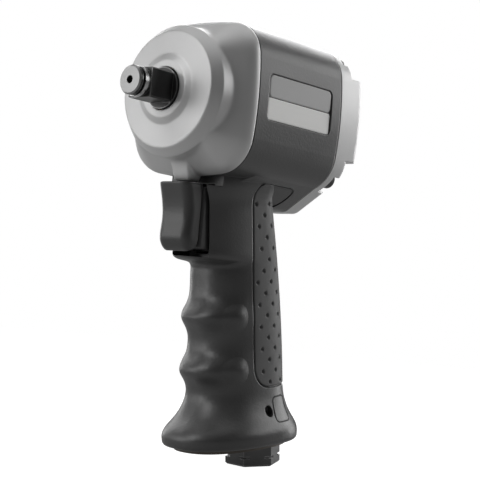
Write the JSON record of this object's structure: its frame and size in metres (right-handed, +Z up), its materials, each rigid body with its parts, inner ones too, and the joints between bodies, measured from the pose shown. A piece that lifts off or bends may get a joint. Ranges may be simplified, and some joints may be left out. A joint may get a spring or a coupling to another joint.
{
  "type": "air impact wrench",
  "caption": "Compact pistol-grip air impact wrench with a square drive, cast metal hammer case and rear cover, moulded handle with finger ridges, trigger and reverse knob.",
  "frame": {"origin": "on the drive axis, at the front face of the anvil's round collar, where a socket comes to rest", "axes": "+X points out of the drive, +Y to the tool's left, +Z up along the handle's back"},
  "size_m": [0.1163, 0.068, 0.1931],
  "materials": {
    "composite": "fine moulded grain",
    "cast_metal": "satin blasted",
    "gasket": "dull",
    "grip_rubber": "soft, dimpled",
    "trigger_plastic": "fine moulded grain",
    "black_steel": "blackened, worn bright at the edges",
    "bright_steel": "ground",
    "bronze": "turned",
    "vane_plastic": "plain",
    "felt": "felt"
  },
  "bodies": {
    "housing": {"motor_housing": "composite", "hammer_case": "cast_metal", "rear_cover": "cast_metal", "front_gasket": "gasket", "rear_gasket": "gasket", "inlet_seal": "gasket", "grip_inlay": "grip_rubber", "housing_bolts": "black_steel", "bolt_washers": "black_steel", "inlet_bushing": "black_steel", "foot_pin": "black_steel", "cylinder_liner": "bright_steel", "liner_dowel": "bright_steel", "front_end_plate": "bright_steel", "rear_end_plate": "bright_steel", "front_bearing_outer": "bright_steel", "rear_bearing_outer": "bright_steel", "trigger_pin": "bright_steel", "throttle_spring": "bright_steel", "stop_pin": "bright_steel", "inlet_screen": "bright_steel", "anvil_bushing": "bronze", "throttle_bushing": "bronze", "reverse_bushing": "bronze", "exhaust_deflector": "vane_plastic", "exhaust_muffler": "felt"},
    "trigger": {"trigger": "trigger_plastic", "trigger_rod": "bright_steel"},
    "throttle": {"throttle_valve": "bronze"},
    "rotor": {"rotor": "bright_steel", "rotor_vanes": "vane_plastic", "front_bearing_inner": "bright_steel", "rear_bearing_inner": "bright_steel"},
    "hammer": {"hammer_cage": "bright_steel", "front_hammer": "bright_steel", "rear_hammer": "bright_steel", "hammer_pins": "bright_steel"},
    "anvil": {"anvil": "black_steel", "friction_ring": "bright_steel", "ring_cushion": "gasket"},
    "front_balls": {"front_bearing_balls": "bright_steel"},
    "rear_balls": {"rear_bearing_balls": "bright_steel"},
    "reverse": {"reverse_valve": "bronze", "reverse_knob": "black_steel", "knob_screw": "bright_steel"}
  },
  "joints": [
    {"name": "trigger_slide", "type": "slide", "parent": "housing", "child": "trigger", "axis": [-1, 0, 0], "range_m": [0, 0.006], "stiffness_N_per_m": 600, "springref_m": -0.008},
    {"name": "throttle_slide", "type": "slide", "parent": "housing", "child": "throttle", "axis": [-1, 0, 0], "range_m": [0, 0.006], "deforming": ["throttle_spring"]},
    {"name": "rotor_spin", "type": "hinge", "parent": "housing", "child": "rotor", "pos_m": [0, 0, 0], "axis": [1, 0, 0], "continuous": true},
    {"name": "hammer_spin", "type": "hinge", "parent": "housing", "child": "hammer", "pos_m": [0, 0, 0], "axis": [1, 0, 0], "continuous": true},
    {"name": "anvil_spin", "type": "hinge", "parent": "housing", "child": "anvil", "pos_m": [0, 0, 0], "axis": [1, 0, 0], "continuous": true},
    {"name": "front_balls_orbit", "type": "hinge", "parent": "housing", "child": "front_balls", "pos_m": [0, 0, 0], "axis": [1, 0, 0], "continuous": true},
    {"name": "rear_balls_orbit", "type": "hinge", "parent": "housing", "child": "rear_balls", "pos_m": [0, 0, 0], "axis": [1, 0, 0], "continuous": true},
    {"name": "reverse_turn", "type": "hinge", "parent": "housing", "child": "reverse", "pos_m": [0, 0, -0.0346], "axis": [1, 0, 0], "range_deg": [-35, 35]}
  ],
  "couplings": [
    {"joint": "throttle_slide", "follows": "trigger_slide", "ratio": 1},
    {"joint": "hammer_spin", "follows": "rotor_spin", "ratio": 1},
    {"joint": "anvil_spin", "follows": "rotor_spin", "ratio": 1},
    {"joint": "front_balls_orbit", "follows": "rotor_spin", "ratio": 0.40625},
    {"joint": "rear_balls_orbit", "follows": "rotor_spin", "ratio": 0.40625}
  ]
}
